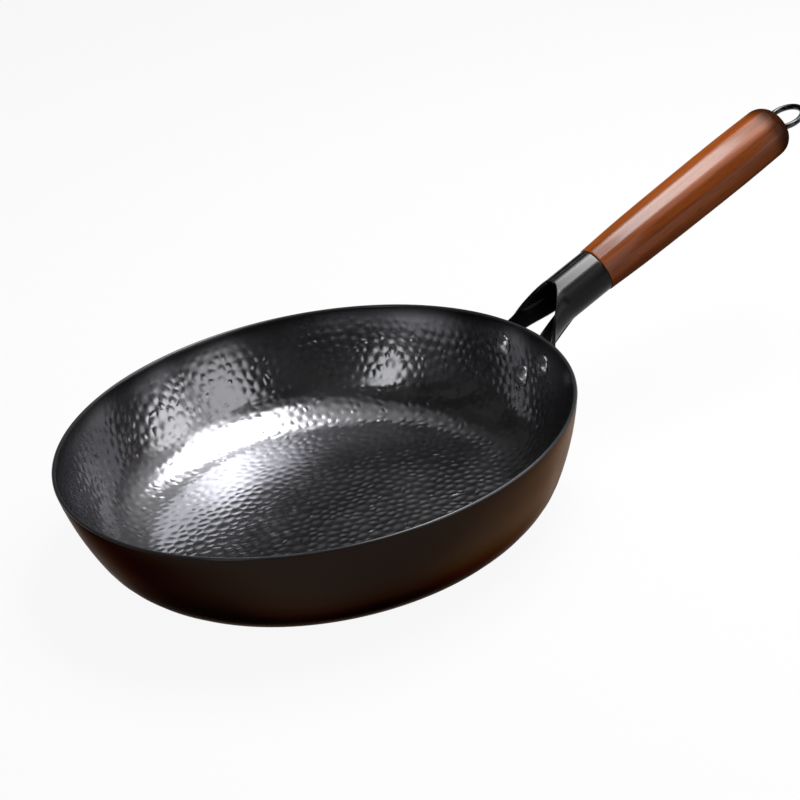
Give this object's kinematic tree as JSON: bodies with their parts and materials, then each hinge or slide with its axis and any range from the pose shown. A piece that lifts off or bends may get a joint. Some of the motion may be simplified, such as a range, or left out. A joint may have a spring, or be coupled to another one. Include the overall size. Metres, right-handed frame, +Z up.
{
  "type": "wok",
  "caption": "Flat-bottomed hammered iron wok with flaring sides, a black stamped-steel bracket riveted to its wall, a turned wood handle and a wire hanging loop.",
  "frame": {"origin": "centre of the flat base, on the surface that the wok stands on", "axes": "+Z up, +X along the handle, +Y to the left of someone looking along the handle from the bowl"},
  "size_m": [0.5555, 0.32, 0.1585],
  "materials": {
    "bowl_iron": "seasoned satin black, hammered inside",
    "bracket_black": "gloss black",
    "rivet_steel": "polished",
    "handle_wood": "varnished red-brown",
    "plain_steel": "plain zinc",
    "loop_steel": "polished"
  },
  "bodies": {
    "root": {"wok_bowl": "bowl_iron", "handle_bracket": "bracket_black", "rivet_left": "rivet_steel", "rivet_right": "rivet_steel", "rivet_lower": "rivet_steel", "wood_handle": "handle_wood", "tie_rod": "plain_steel", "socket_disc": "plain_steel", "weld_nut": "plain_steel", "end_washer": "plain_steel", "hanging_loop": "loop_steel"}
  },
  "joints": []
}
